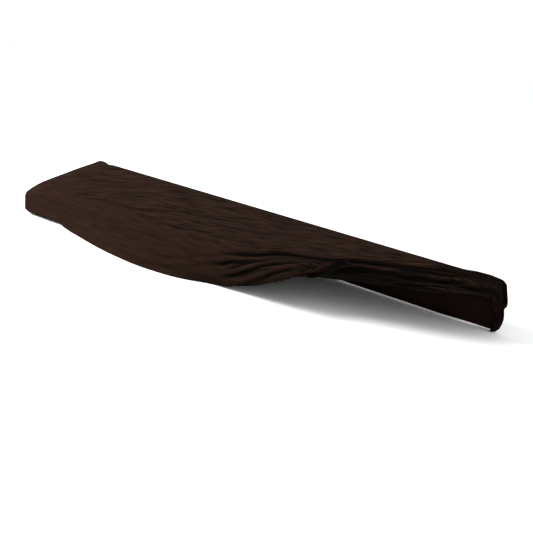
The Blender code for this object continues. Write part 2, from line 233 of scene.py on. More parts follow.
@dataclass(frozen=True)
class Drape:
    """The form that the sheet takes over its case, as the solid has it."""

    length: float = 1265.0
    depth: float = 288.0
    origin_height: float = 105.0
    front_top: float = 68.0
    front_radius: float = 18.0
    front_turn: float = math.radians(76.0)
    wall_end: float = 92.0
    top_end: float = 359.3
    edge_reach: float = 16.0
    back_radius: float = 10.0
    end_radius: float = 7.0
    end_drop: float = 18.5
    end_drop_length: float = 62.0
    end_drop_power: float = 1.5
    corner_lift: float = 8.0
    corner_lift_length: float = 24.0
    corner_lift_height: float = 30.0
    flare_height: float = 70.0
    flare_power: float = 2.2
    sink_power: float = 1.4
    slope_step: float = 4.0
    tuck_share: float = 0.25
    hem_on_table: float = 2.3
    hang_start: float = 540.0
    back_tuck_end: float = 520.0
    back_tuck_gone: float = 610.0
    top: Curve = Curve((-130.4, -112, -86, -16, 64, 134), (85.5, 91.8, 98.1, 106.8, 116.9,
        125.3), start_flat=False)
    tuck: Curve = Curve((-545, -505, -465, -428), (1, 0.55, 0.12, 0))
    out: Curve = Curve((-545, -505, -465, -428, -385, -308, -241, -155, -82, -37, 0, 36, 70, 118), (0, 1.5,
        5.5, 12, 21, 38, 48, 54, 48, 39, 24.5, 8, 1, 0))
    hem: Curve = Curve((36, 70, 118, 161, 201, 232, 250, 260, 275, 297, 336, 376, 419, 457, 497, 544, 589,
        632.5), (0, 2, 18, 33, 53, 69, 84, 100, 119, 130, 145, 161, 173, 194, 208, 243, 272, 293))
    gather: Curve = Curve((-155, -82, -37, 0, 36, 70, 118, 161, 201, 232, 250, 260, 275, 297, 336, 376, 419,
        457, 497, 544, 589, 632.5), (93, 94, 95, 96, 98, 104, 126, 155, 178, 191, 198, 202, 208, 220, 245,
        270, 300, 322, 333, 336, 333, 326))
    sink: Curve = Curve((250, 260, 275, 297, 336, 376, 419, 457, 497, 544, 589, 632.5), (0, 6, 11, 12, 12.5,
        11, 9, 10.5, 10, 14, 15, 14))
    wall_reach: Curve = Curve(
        tuple(i / 16 for i in range(4, 17)),
        (13, 20, 27, 34, 41, 48, 55, 62, 68, 74, 80, 86, 92), start_flat=False)
    tuck_inset: Curve = Curve((0, 1 / 16, 2 / 16, 3 / 16, 4 / 16), (20, 13, 7, 2.3, 0), start_flat=False)
    tuck_height: Curve = Curve((0, 1 / 16, 2 / 16, 3 / 16, 4 / 16), (7, 5.2, 5.5, 8, 13), start_flat=False)
    back_tuck_height: Curve = Curve((0, 0.25, 0.5, 0.75, 1), (14, 11, 8.1, 5.2, 2.3), start_flat=False)
    hanging: Curve = Curve((0, 13, 34, 50, 60, 70, 84, 98, 120), (643, 650.5, 654, 652, 649.5, 654, 651.5,
        647, 640.5))
    bunch_depth: float = 34.0
    bunch_from: float = 60.0
    bunch_rise: float = 50.0
    bunches: tuple[tuple[float, float, float], ...] = (
        (-612.0, 3.2, 18.0), (-588.0, -3.0, 12.0), (566.0, 1.8, 14.0), (596.0, 5.5, 32.0))

    def case(self, reach: Grid) -> tuple[Grid, Grid, Grid, Grid]:
        """Find the case's face at a distance up the front and over the top.

        Args:
            reach: That distance, in mm.

        Returns:
            y and z there, and the way out of the face as y and z.
        """
        arc = self.wall_end - self.front_top
        angle = self.front_turn * np.clip((reach - self.front_top) / arc, 0.0, 1.0)
        y = -self.depth / 2 + self.front_radius * (1.0 - np.cos(angle))
        z = np.where(reach <= self.front_top, reach, self.front_top + self.front_radius * np.sin(angle))
        share = (reach - self.wall_end) / (self.top_end - self.wall_end)
        top_y = mix(self.top.spots[0], self.top.spots[-1], np.maximum(share, 0.0))
        top_z = self.top(top_y)
        slope = (self.top(top_y + self.slope_step) - top_z) / self.slope_step
        size = np.hypot(1.0, slope)
        over = reach > self.wall_end
        return (np.where(over, top_y, y), np.where(over, top_z, z),
                np.where(over, -slope / size, -np.cos(angle)), np.where(over, 1.0 / size, np.sin(angle)))

    def from_share(self, x: Grid, share: Grid) -> Grid:
        """Return the reach of a share of the way from the hem to the gather's far side."""
        return mix(self.hem(x), self.gather(x), share)

    def span(self, x: Grid) -> Grid:
        """Return how far it is from the hem to the gather's far side."""
        return self.gather(x) - self.hem(x)

    def to_share(self, x: Grid, reach: Grid) -> Grid:
        """Return the share of the way from the hem to the gather's far side at a reach."""
        return (reach - self.hem(x)) / self.span(x)

    def from_depth(self, _: Grid, y: Grid) -> Grid:
        """Return the reach of a place on the top, by its y."""
        first, last = self.top.spots[0], self.top.spots[-1]
        return mix(self.wall_end, self.top_end, (y - first) / (last - first))

    def settle(self, x: Grid, y: Grid, z: Grid) -> Grid:
        """Return z with the left end lowered, its bottom corner lifted and the back edge bunched."""
        left = x + self.length / 2
        forward = np.clip((self.depth / 2 - y) / self.depth, 0.0, 1.0)
        drop = self.end_drop * forward**self.end_drop_power * ease(1.0 - left / self.end_drop_length)
        z = z - drop * np.minimum(z / self.front_top, 1.0)
        low = np.maximum(0.0, 1.0 - z / self.corner_lift_height)
        z = z + self.corner_lift * ease(1.0 - left / self.corner_lift_length) * low
        near_edge = ease(1.0 - np.abs(y - self.depth / 2) / self.bunch_depth)
        near_edge = near_edge * ease((z - self.bunch_from) / self.bunch_rise)
        for place, rise, width in self.bunches:
            z = z + rise * near_edge * np.exp(-((x - place) / width) ** 2)
        return z

    def front(self, x: Grid, share: Grid, inset: Grid) -> tuple[Grid, Grid, Grid, Grid]:
        """Lay the sheet from the hem to the far side of the gather.

        Args:
            x: Place along the cover, one row for each section.
            share: How far from the hem to the gather's far side, one column each.
            inset: How far the section lies inside the cover's full outline.

        Returns:
            x, y and z of each point, and its reach.
        """
        hem, gather = self.hem(x), self.gather(x)
        reach = mix(hem, gather, share)
        y, z, way_y, way_z = self.case(reach)
        near = np.maximum(0.0, 1.0 - reach / self.flare_height)
        spread = self.out(x) * near**self.flare_power
        z = z + self.hem_on_table * near - self.sink(x) * (1.0 - share) ** self.sink_power
        hung_y, hung_z = y - spread - way_y * inset, z - way_z * inset
        turned = share <= self.tuck_share
        wall_y, wall_z, way_y, way_z = self.case(self.wall_reach(share))
        tucked_y = np.where(turned, -self.depth / 2 + inset, wall_y - way_y * inset)
        tucked_z = np.where(turned, self.tuck_height(share), wall_z - way_z * inset)
        tuck = self.tuck(x)
        y, z = mix(hung_y, tucked_y, tuck), mix(hung_z, tucked_z, tuck)
        pull = self.tuck_inset(share) * tuck
        x = x * (1.0 - pull / (self.length / 2)) + 0.0 * y
        y = y * (1.0 - pull / (self.depth / 2))
        return x, y, self.settle(x, y, z), reach + 0.0 * x

    def over_top(self, x: Grid, share: Grid, inset: Grid) -> tuple[Grid, Grid, Grid, Grid]:
        """Lay the sheet from the far side of the gather to the back edge, as front does."""
        reach = mix(self.gather(x), self.top_end, share)
        y, z, way_y, way_z = self.case(reach)
        y, z = y - way_y * inset, z - way_z * inset
        x = x + 0.0 * y
        return x, y, self.settle(x, y, z), reach

    def down_back(self, x: Grid, turns: Grid, drops: Grid, tucks: Grid,
                  inset: Grid) -> tuple[Grid, Grid, Grid, Grid]:
        """Lay the sheet round the back edge and down to the hem.

        Args:
            x: Place along the cover, one row for each section.
            turns: Angles round the back edge.
            drops: Heights down the back.
            tucks: Shares of the way round the tucked hem.
            inset: How far the section lies inside the cover's full outline.

        Returns:
            x, y and z of each point, and its reach.
        """
        radius = self.back_radius - inset
        edge_y = self.depth / 2 - self.back_radius
        edge_z = self.top.values[-1] - self.back_radius
        turn_y, turn_z = edge_y + radius * np.sin(turns), edge_z + radius * np.cos(turns)
        wall_y, wall_z = self.depth / 2 - inset + 0.0 * drops, drops + 0.0 * x
        tuck = 1.0 - ease((x - self.back_tuck_end) / (self.back_tuck_gone - self.back_tuck_end))
        folded = (1.0 - tucks) * self.tuck_share
        pull = self.tuck_inset(folded) * tuck
        hem_z = mix(self.back_tuck_height(tucks), self.tuck_height(folded), tuck)
        hem_y = (self.depth / 2 - inset) * (1.0 - pull / (self.depth / 2))
        hem_x = x * (1.0 - pull / (self.length / 2))
        y = np.concatenate((turn_y, wall_y, hem_y), axis=1)
        z = np.concatenate((turn_z, wall_z, hem_z), axis=1)
        x = np.concatenate((x + 0.0 * turn_y, x + 0.0 * wall_y, hem_x), axis=1)
        z = self.settle(x, y, z)
        stand = self.hanging(z) - self.length / 2
        near = ease((x - self.hang_start) / (self.length / 2 - self.hang_start))
        lead = np.minimum((np.arange(y.shape[1]) + 1) / turns.shape[1], 1.0)
        reach = self.top_end + self.edge_reach + (edge_z - z) + 0.0 * y
        return x + stand * near * lead, y, z, reach


PLEATS = (
    Fold(3.2, 5.5, ((-230, 0.2), (-115, 0.2), (-37, 0.36), (15, 0.55), (70, 0.7), (106, 0.67), (138, 0.64),
         (171, 0.58), (215, 0.54))),
    Fold(-4, 4.5, ((44, 0.48), (68, 0.56), (86, 0.61), (111, 0.57), (132, 0.58), (158, 0.56),
         (190, 0.5)), 0.18, 0.3),
    Fold(4, 4.5, ((60, 0.33), (84, 0.37), (105, 0.4), (134, 0.42), (153, 0.42), (170, 0.49), (196, 0.57))),
    Fold(-3.8, 4.6, ((46, 0.2), (69, 0.23), (117, 0.29), (142, 0.35), (159, 0.39), (172, 0.44), (207, 0.49),
         (250, 0.53))),
    Fold(3.5, 5, ((92, 0.1), (120, 0.12), (146, 0.18), (176, 0.22), (204, 0.21)), 0.35, 0.3),
    Fold(4, 4.5, ((192, 0.32), (210, 0.38), (240, 0.45), (264, 0.48), (278, 0.47)), 0.28, 0.15),
    Fold(-3.6, 4.5, ((172, 0.13), (190, 0.17), (207, 0.2), (224, 0.25), (249, 0.27)), 0.28, 0.35),
    Fold(-2.6, 2.6, ((84, 0.43), (100, 0.45), (118, 0.475), (136, 0.505), (150, 0.57)), 0.25, 0.3),
    Fold(2.4, 2.2, ((222, 0.04), (238, 0.08), (255, 0.12), (267, 0.17), (276, 0.28), (280, 0.46),
         (288, 0.63), (296, 0.85), (304, 0.99), (322, 0.86), (345, 0.73), (372, 0.63),
         (400, 0.6)), 0.1, 0.12),
    Fold(-6, 6.5, ((266, -0.06), (278, 0.08), (291, 0.3), (300, 0.57), (313, 0.77), (326, 0.78),
         (348, 0.7)), 0.15, 0.15),
    Fold(5, 5, ((300, 0.27), (309, 0.4), (320, 0.5), (333, 0.58), (358, 0.62), (384, 0.63), (418, 0.58),
         (442, 0.5), (476, 0.53), (513, 0.53), (532, 0.58), (572, 0.67), (700, 0.8)), 0.06, 0.1),
    Fold(-6.5, 6.5, ((288, 0.06), (303, 0.22), (330, 0.34), (357, 0.45), (387, 0.48), (420, 0.45),
         (460, 0.38), (500, 0.4), (560, 0.44), (700, 0.55)), 0.08, 0.1),
    Fold(3.5, 5, ((440, 0.22), (484, 0.25), (520, 0.33), (574, 0.52), (640, 0.62))),
    Fold(3, 4, ((408, 0.12), (434, 0.15), (466, 0.19), (496, 0.21), (528, 0.13), (556, 0.1), (585, 0.07),
         (700, 0.06)), 0.15, 0.1),
    Fold(2, 3.6, ((316, 0.1), (348, 0.14), (390, 0.14), (423, 0.09), (452, 0.08))),
    Fold(-3, 4.5, ((330, 0.23), (390, 0.25), (440, 0.13), (480, 0.13), (540, 0.03))),
    Fold(-3.5, 5, ((400, 0.72), (440, 0.68), (500, 0.7), (560, 0.8), (700, 0.88)), 0.15, 0.1),
    Fold(-5.5, 7, ((50, 0.8), (128, 0.83), (172, 0.91), (213, 0.92), (256, 0.9), (297, 0.92), (321, 0.91),
         (363, 0.84), (417, 0.85), (458, 0.85), (498, 0.9), (532, 0.94), (700, 0.96)), 0.12, 0.1),
    Fold(3, 7, ((40, 0.98), (88, 0.99), (132, 1.01), (166, 1.03), (201, 1.12), (231, 1.15), (264, 1.18),
         (296, 1.17), (351, 1.05), (480, 1.05), (700, 1.05)), 0.12, 0.1),
)
LIP = Curve((0.0, 0.17, 0.30, 0.63, 0.99), (260.0, 267.0, 277.0, 288.0, 304.0))
CREASES = (
    Fold(-1.2, 18, ((-520, -52), (-452, -19), (-415, 4), (-320, 72))),
    Fold(-1.3, 16, ((-460, -92), (-361, -35), (-292, -2), (-180, 78))),
    Fold(-1.3, 15, ((-400, -106), (-287, -91), (-225, -64), (-110, -8))),
    Fold(1.2, 15, ((-300, -52), (-200, -4), (-71, 42), (100, 88))),
    Fold(-1.3, 15, ((-240, -40), (-132, -15), (-59, 5), (80, 50))),
    Fold(-1.4, 14, ((-200, -104), (-107, -101), (-45, -83), (40, -44))),
    Fold(1.3, 15, ((-130, -62), (-20, -48), (60, -30), (180, 8))),
    Fold(-1.6, 13, ((-80, -98), (11, -88), (71, -69), (150, -34))),
    Fold(-1.4, 15, ((-30, -44), (55, -12), (126, 22), (240, 62))),
    Fold(1.3, 15, ((50, 8), (150, 44), (240, 72), (340, 96))),
    Fold(-1.3, 13, ((190, 14), (260, 42), (340, 78), (450, 112))),
    Fold(0.8, 6, ((-560, -132), (-475, -118), (-446, -85), (-414, -36), (-348, 18)), shape=Shape.CREASE),
    Fold(-0.8, 6, ((-500, -46), (-452, -19), (-415, 9), (-356, 68)), shape=Shape.CREASE),
    Fold(-1, 6.5, ((-433, -83), (-402, -64), (-361, -35), (-292, -2), (-190, 74)), shape=Shape.CREASE),
    Fold(-0.9, 6, ((-395, -104), (-287, -91), (-254, -82), (-225, -64), (-177, -33)), shape=Shape.CREASE),
    Fold(0.8, 6, ((-480, -110), (-376, -88), (-300, -52), (-235, -14)), shape=Shape.CREASE),
    Fold(-0.9, 6, ((-226, -35), (-132, -15), (-59, 5), (-9, 23)), shape=Shape.CREASE),
    Fold(-1, 6.5, ((-183, -103), (-107, -103), (-69, -92), (-45, -83), (-2, -51)), shape=Shape.CREASE),
    Fold(-1, 6.5, ((-74, -97), (-27, -90), (28, -83), (71, -69), (120, -46)), shape=Shape.CREASE),
    Fold(-0.9, 6, ((-10, -40), (34, -24), (79, -3), (126, 24)), shape=Shape.CREASE),
    Fold(0.8, 6, ((-71, 42), (-2, 58), (82, 71), (127, 94)), shape=Shape.CREASE),
    Fold(0.8, 6, ((-340, 40), (-260, 62), (-190, 88), (-110, 112)), shape=Shape.CREASE),
    Fold(-0.8, 6, ((-200, 36), (-110, 62), (-20, 88), (60, 108)), shape=Shape.CREASE),
    Fold(0.8, 6, ((90, -50), (160, -12), (230, 24), (330, 66)), shape=Shape.CREASE),
    Fold(-0.8, 6, ((150, -16), (230, 28), (300, 60), (400, 98)), shape=Shape.CREASE),
    Fold(0.8, 6, ((260, 22), (330, 56), (400, 90), (470, 112)), shape=Shape.CREASE),
)


@dataclass(frozen=True)
class Layer:
    """One layer of the top's fine wrinkles: its pattern, and its sizes against the first layer's."""

    seed: int
    pitch: float
    length: float
    depth: float


@dataclass(frozen=True)
class Wrinkles:
    """The fine pulled wrinkles between the creases, and the puckers of the elastic hem."""

    start: float = 20.0
    layers: tuple[Layer, ...] = (Layer(11, 1.0, 1.0, 1.0), Layer(12, 0.62, 0.7, 0.6),
                                 Layer(14, 1.7, 1.3, 0.8))
    top_start: float = 40.0
    top_height: float = 1.8
    top_pitch: float = 10.5
    top_length: float = 62.0
    top_sharpness: float = 0.32
    patch_seed: int = 50
    patch_contrast: float = 1.2
    patch_width: float = 2.2
    patch_turns: float = 1.6
    broad: Ripple = Ripple(13)
    broad_height: float = 0.4
    broad_pitch: float = 40.0
    broad_length: float = 160.0
    wander: Ripple = Ripple(21)
    wander_width: float = 5.0
    wander_length: float = 180.0
    wander_turns: float = 2.0
    wander_start: float = 5.0
    pleats: Ripple = Ripple(22)
    gather_height: float = 2.2
    gather_pitch: float = 6.5
    gather_length: float = 130.0
    even_span: float = 105.0
    evenness: float = 0.7
    narrow: Ripple = Ripple(23)
    narrow_height: float = 0.5
    narrow_pitch: float = 1.9
    narrow_length: float = 0.6
    gather_in: Ramp = Ramp(40.0, 160.0)
    gather_far: Ramp = Ramp(1.12, -0.2)
    gather_low: Ramp = Ramp(0.0, 0.15)
    low_height: float = 0.25
    full_span: float = 90.0
    least_height: float = 0.35
    past_lip: Ramp = Ramp(0.0, 50.0)
    lip_width: float = 24.0
    hem_width: float = 11.0
    hem_rise: float = 0.8
    hem_step: float = 3.0
    seam_depth: float = 0.7
    seam_place: float = 1.0
    seam_width: float = 1.6
    puckers: Ripple = Ripple(31)
    pucker_start: tuple[float, float] = (60.0, 7.0)
    pucker_height: float = 0.8
    pucker_pitch: float = 17.0
    pucker_length: float = 60.0
    pucker_reach: float = 16.0
    hem_free: Ramp = Ramp(200.0, 80.0)
    flow_from: float = 90.0
    flow_steps: int = 60
    flow_gap: float = 8.0
    flow_blend: float = 60.0
    slope: Curve = Curve((-632, -400, -250, -100, 50, 200, 400, 632), (0.9, 0.75, 0.45, 0.28, 0.3, 0.38,
        0.36, 0.1))

    def flow(self, drape: Drape, x: Grid, reach: Grid) -> Grid:
        """Follow the pull of the gather to one section of the sheet.

        Args:
            drape: The form of the sheet.
            x: Place along the cover of each point.
            reach: How far over the sheet each point lies.

        Returns:
            The reach where the wrinkle through each point crosses that section.
        """
        step = (x - self.flow_from) / self.flow_steps
        place, spot = reach.copy(), x.copy()
        for _ in range(self.flow_steps):
            edge = drape.gather(spot)
            pull = (edge - drape.gather(spot - self.flow_gap)) / self.flow_gap
            share = ease((place - edge) / self.flow_blend)
            place = place - step * mix(pull, self.slope(spot), share)
            spot = spot - step
        return place

    def on_top(self, x: Grid, pull: Grid) -> Grid:
        """Return the lift of the fine wrinkles that run slantwise over the top.

        Args:
            x: Place along the cover of each point.
            pull: Which line of the pull each point lies on.

        Returns:
            The lift, in mm: narrow valleys that come and go along the lines.
        """
        lift = np.zeros_like(x)
        for layer in self.layers:
            line = pull / (self.top_pitch * layer.pitch) + self.top_start
            along = x / (self.top_length * layer.length) + self.start
            valley = np.exp(-(Ripple(layer.seed)(line, along) / self.top_sharpness) ** 2)
            patches = Ripple(layer.seed + self.patch_seed)(line / self.patch_width, along * self.patch_turns)
            lift -= self.top_height * layer.depth * valley * ease(0.5 + self.patch_contrast * patches)
        broad = self.broad(pull / self.broad_pitch + self.top_start, x / self.broad_length + self.start)
        return lift + self.broad_height * self.top_height * broad

    def in_gather(self, drape: Drape, x: Grid, reach: Grid) -> Grid:
        """Return the lift of the narrow pleats that run along the gather."""
        span, share = drape.span(x), drape.to_share(x, reach)
        across = share * self.wander_turns + self.wander_start
        wander = self.wander(x / self.wander_length + self.start, across)
        line = share * mix(span, self.even_span, self.evenness) + self.wander_width * wander
        line = line / self.gather_pitch + self.start
        pleat = self.pleats(line, x / self.gather_length + self.start)
        narrow = x / (self.gather_length * self.narrow_length) + self.start
        pleat = pleat + self.narrow_height * self.narrow(line * self.narrow_pitch, narrow)
        past = x - LIP(share)
        room = self.gather_in(x) * self.gather_far(share)
        room = room * np.clip(span / self.full_span, self.least_height, 1.0)
        room = room * mix(self.least_height, 1.0, self.past_lip(past))
        room = room * (1.0 - np.exp(-(past / self.lip_width) ** 4))
        return self.gather_height * pleat * room * mix(self.low_height, 1.0, self.gather_low(share))

    def at_hem(self, drape: Drape, x: Grid, reach: Grid) -> Grid:
        """Return the lift of the hem's band, its seam and its puckers."""
        away = reach - drape.hem(x)
        band = self.hem_rise * ease((self.hem_width - away) / self.hem_step)
        seam = -self.seam_depth * np.exp(-((away - self.hem_width - self.seam_place) / self.seam_width) ** 2)
        first, second = self.pucker_start
        pucker = self.puckers(x / self.pucker_pitch + first, away / self.pucker_length + second)
        pucker = pucker * self.pucker_height * np.exp(-((away - self.hem_width) / self.pucker_reach) ** 2)
        return (band + seam + pucker) * mix(self.least_height, 1.0, self.hem_free(x))


class Socket:
    """A value in a shader, with the usual operators as Math nodes."""

    def __init__(self, nodes: "Nodes", socket: bpy.types.NodeSocket) -> None:
        """Wrap one output socket of a node tree."""
        self.nodes = nodes
        self.socket = socket

    def _math(self, operation: str, *values: "Socket | float") -> "Socket":
        """Return the result of one Math node on these values."""
        return self.nodes.add("ShaderNodeMath", {"operation": operation}, dict(enumerate(values)))

    def __add__(self, other: "Socket | float") -> "Socket":
        """Add."""
        return self._math("ADD", self, other)

    def __radd__(self, other: "Socket | float") -> "Socket":
        """Add to a number."""
        return self._math("ADD", other, self)

    def __sub__(self, other: "Socket | float") -> "Socket":
        """Subtract."""
        return self._math("SUBTRACT", self, other)

    def __rsub__(self, other: "Socket | float") -> "Socket":
        """Subtract from a number."""
        return self._math("SUBTRACT", other, self)

    def __mul__(self, other: "Socket | float") -> "Socket":
        """Multiply."""
        return self._math("MULTIPLY", self, other)

    def __rmul__(self, other: "Socket | float") -> "Socket":
        """Multiply a number."""
        return self._math("MULTIPLY", other, self)

    def wave(self) -> "Socket":
        """Return the sine, raised so that it runs from 0 to 1."""
        return self._math("SINE", self) * 0.5 + 0.5

    def zigzag(self) -> "Socket":
        """Return a zigzag from 0 to 1 with one turn in every whole step."""
        return self._math("PINGPONG", self, 0.5) * 2.0


class Nodes:
    """The node tree of one material."""

    def __init__(self, name: str) -> None:
        """Make a material of this name with a Principled shader."""
        self.material = bpy.data.materials.new(name)
        self.material.use_nodes = True
        self.tree = self.material.node_tree
        self.shader = self.tree.nodes["Principled BSDF"]

    def add(self, kind: str, settings: dict[str, object] | None = None,
            inputs: dict[str | int, object] | None = None, output: int | str = 0) -> Socket:
        """Add a node.

        Args:
            kind: The node's type.
            settings: Its properties, set first.
            inputs: Values or sockets for its inputs, by name or number.
            output: Which of its outputs to return.

        Returns:
            That output.
        """
        node = self.tree.nodes.new(kind)
        for key, value in (settings or {}).items():
            setattr(node, key, value)
        for key, value in (inputs or {}).items():
            self.feed(node.inputs[key], value)
        return Socket(self, node.outputs[output])

    def feed(self, target: bpy.types.NodeSocket, value: object) -> None:
        """Give an input a value, or link a socket to it."""
        if isinstance(value, Socket):
            self.tree.links.new(value.socket, target)
        else:
            target.default_value = value

    def attribute(self, name: str) -> Socket:
        """Return what the sheet's vertices say under a name."""
        return self.add("ShaderNodeAttribute", {"attribute_name": name}, None, "Fac")

    def dress(self, inputs: dict[str, object]) -> bpy.types.Material:
        """Set the shader's inputs and return the material."""
        for key, value in inputs.items():
            self.feed(self.shader.inputs[key], value)
        return self.material


@dataclass(frozen=True)
class StretchKnit:
    """Matt dark brown-black stretch knit, with its fine ribs along the length and painted shade in its
    colour.
    """

    name: str = "stretch_knit"
    # The knit's tone between these runs with its yarn, its fuzz and streaks that are painted shade of fine
    # wrinkles.
    deep: tuple[float, ...] = (0.0048, 0.0024, 0.0014, 1.0)
    light: tuple[float, ...] = (0.0222, 0.0109, 0.0074, 1.0)
    # A near-black painted shade, mixed into the knit where shade falls in the gather and the folds.
    painted_shade: tuple[float, ...] = (0.0012, 0.0011, 0.0008, 1.0)
    roughness: float = 0.92
    sheen: float = 0.010
    sheen_roughness: float = 0.5
    sheen_tint: tuple[float, ...] = (0.60, 0.36, 0.26, 1.0)
    specular: float = 0.012
    rib: float = 0.0011
    course: float = 0.0013
    rib_depth: float = 0.00012
    streak_width: float = 0.0065
    streak_length: float = 0.060
    streak_depth: float = 0.0009
    streak_strength: float = 0.5
    knit_strength: float = 0.6
    shade: float = 0.36
    # How far the streaks along the pull darken and lighten the knit, as painted shade of fine wrinkles.
    painted_streak_shade: float = 2.8
    yarn_shade: float = 0.12
    fuzz_shade: float = 0.12
    fuzz_scale: float = 900.0
    fuzz_height: float = 0.6
    yarn_rough: float = 0.12
    fuzz_rough: float = 0.06

    def make(self) -> bpy.types.Material:
        """Build the material.

        Returns:
            A knit whose loops follow the sheet's own UV map.
        """
        nodes = Nodes(self.name)
        place = nodes.add("ShaderNodeUVMap", {"uv_map": "cloth"})
        u = nodes.add("ShaderNodeSeparateXYZ", None, {0: place}, "X")
        v = nodes.add("ShaderNodeSeparateXYZ", None, {0: place}, "Y")
        chevron = (v * (1.0 / self.rib)).zigzag()
        loops = (u * (2.0 * math.pi / self.course) + chevron * math.pi).wave()
        rib = (v * (2.0 * math.pi / self.rib)).wave()
        yarn = loops * 0.5 + rib * 0.5
        pull = nodes.attribute("pull")
        lines = nodes.add("ShaderNodeCombineXYZ", None,
                          {"X": u * (1.0 / self.streak_length), "Y": pull * (1.0 / self.streak_width)})
        streak = nodes.add("ShaderNodeTexNoise", None,
                           {"Vector": lines, "Scale": 1.0, "Detail": 3.0, "Roughness": 0.55}, "Fac")
        fuzz = nodes.add("ShaderNodeTexNoise", None,
                         {"Vector": place, "Scale": self.fuzz_scale, "Detail": 2.0, "Roughness": 0.7}, "Fac")
        creased = nodes.attribute("creased")
        # Streaks along the pull darken and lighten the knit as painted shade of fine wrinkles; yarn and fuzz
        # add the knit's own tone.
        shade = self.shade + (streak - 0.5) * creased * self.painted_streak_shade
        shade = shade + yarn * self.yarn_shade + fuzz * self.fuzz_shade
        knit_tone = nodes.add("ShaderNodeMix", {"data_type": "RGBA"},
                         {0: shade, 6: self.deep, 7: self.light}, 2)
        # Painted shade: the sheet's shade attribute mixes the knit towards the near-black colour.
        painted_shade = nodes.attribute("painted_shade")
        colour = nodes.add("ShaderNodeMix", {"data_type": "RGBA"},
                           {0: painted_shade, 6: knit_tone, 7: self.painted_shade}, 2)
        rough = self.roughness - self.yarn_rough * yarn + self.fuzz_rough * fuzz
        folded = nodes.add("ShaderNodeBump", None,
                           {"Strength": self.streak_strength, "Distance": self.streak_depth,
                            "Height": streak * creased}, "Normal")
        height = yarn + fuzz * self.fuzz_height
        normal = nodes.add("ShaderNodeBump", None,
                           {"Strength": self.knit_strength, "Distance": self.rib_depth,
                            "Height": height, "Normal": folded}, "Normal")
        return nodes.dress({"Base Color": colour, "Roughness": rough, "Normal": normal,
                            "Sheen Weight": self.sheen, "Sheen Roughness": self.sheen_roughness,
                            "Sheen Tint": self.sheen_tint, "Specular IOR Level": self.specular})


